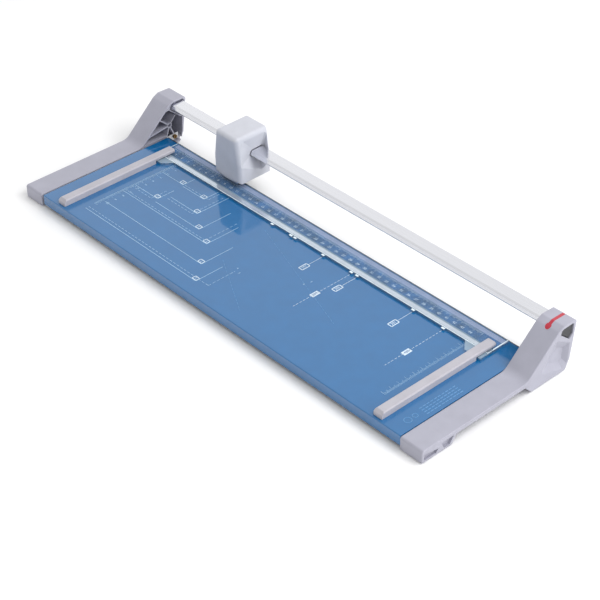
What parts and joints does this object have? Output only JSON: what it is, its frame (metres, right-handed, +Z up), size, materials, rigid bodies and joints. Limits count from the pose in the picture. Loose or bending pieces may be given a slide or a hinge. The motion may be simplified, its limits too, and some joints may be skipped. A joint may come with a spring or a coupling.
{
  "type": "rotary paper trimmer",
  "caption": "Desktop rotary paper trimmer: folded sheet table between moulded end towers, guide rail with a sliding cutting head, clear pressing strip and side guides",
  "frame": {"origin": "on the ground, at the middle of the whole object's footprint", "axes": "+X along the cut to the right, +Y from the front edge to the back, +Z up"},
  "size_m": [0.58, 0.197, 0.0748],
  "materials": {
    "table_blue": "satin powder coat, printed with paper formats",
    "support_grey": "fine-grained moulding",
    "head_grey": "fine-grained moulding",
    "rail_silver": "drawn, satin",
    "blade_steel": "ground",
    "strip_clear": "clear, printed scale",
    "bar_grey": "fine-grained moulding",
    "accent_red": "glossy",
    "rubber_dark": "matt",
    "screw_zinc": "zinc plated",
    "screw_brass": "satin",
    "sheet_zinc": "zinc plated",
    "slide_plastic": "filled plastic",
    "bush_plastic": "slippery plastic",
    "roller_rubber": "matt"
  },
  "bodies": {
    "base": {"base_table": "table_blue", "front_stiffener": "sheet_zinc", "rear_stiffener": "sheet_zinc", "counter_blade": "blade_steel", "counter_blade_screws": "screw_zinc", "table_screws": "screw_zinc", "bar_screws": "screw_zinc", "rail_screws": "screw_zinc", "left_end_support": "support_grey", "right_end_support": "support_grey", "red_inlay": "accent_red", "rubber_feet": "rubber_dark", "guide_rail": "rail_silver", "left_rail_plug": "slide_plastic", "right_rail_plug": "slide_plastic", "blade_end_clips": "sheet_zinc", "brass_clip_screws": "screw_brass", "left_alignment_bar": "bar_grey", "right_alignment_bar": "bar_grey", "strip_leaf_springs": "sheet_zinc"},
    "carriage": {"head_shell": "head_grey", "head_back_cover": "head_grey", "slide_block": "slide_plastic", "head_screws": "screw_zinc", "left_glide_bush": "bush_plastic", "right_glide_bush": "bush_plastic", "roller_axles": "screw_zinc", "blade_spring": "sheet_zinc"},
    "blade_float": {"blade_holder": "slide_plastic", "blade_axle": "screw_zinc"},
    "blade_disc": {"rotary_blade": "blade_steel", "blade_hub": "bush_plastic", "hub_ring": "bush_plastic"},
    "roller_left": {"left_press_roller": "roller_rubber"},
    "roller_right": {"right_press_roller": "roller_rubber"},
    "pressing_strip": {"clear_strip": "strip_clear"}
  },
  "joints": [
    {"name": "head_slide", "type": "slide", "parent": "base", "child": "carriage", "axis": [1, 0, 0], "range_m": [-0.098, 0.386]},
    {"name": "blade_float_slide", "type": "slide", "parent": "carriage", "child": "blade_float", "axis": [0, 1, 0], "range_m": [0, 0.0008], "stiffness_N_per_m": 2000, "springref_m": -0.001, "deforming": ["blade_spring"]},
    {"name": "blade_spin", "type": "hinge", "parent": "blade_float", "child": "blade_disc", "pos_m": [-0.144, 0.0694, 0.0274], "axis": [0, 1, 0], "continuous": true},
    {"name": "left_roller_spin", "type": "hinge", "parent": "carriage", "child": "roller_left", "pos_m": [-0.1555, 0.062, 0.02205], "axis": [0, 1, 0], "continuous": true},
    {"name": "right_roller_spin", "type": "hinge", "parent": "carriage", "child": "roller_right", "pos_m": [-0.1325, 0.062, 0.02205], "axis": [0, 1, 0], "continuous": true},
    {"name": "strip_press", "type": "slide", "parent": "base", "child": "pressing_strip", "axis": [0, 0, -1], "range_m": [0, 0.0005], "stiffness_N_per_m": 1500, "springref_m": -0.0005, "deforming": ["strip_leaf_springs"]}
  ],
  "couplings": [
    {"joint": "blade_spin", "follows": "head_slide", "rad_per_m": 71.429},
    {"joint": "left_roller_spin", "follows": "head_slide", "rad_per_m": 227.27},
    {"joint": "right_roller_spin", "follows": "head_slide", "rad_per_m": 227.27}
  ]
}
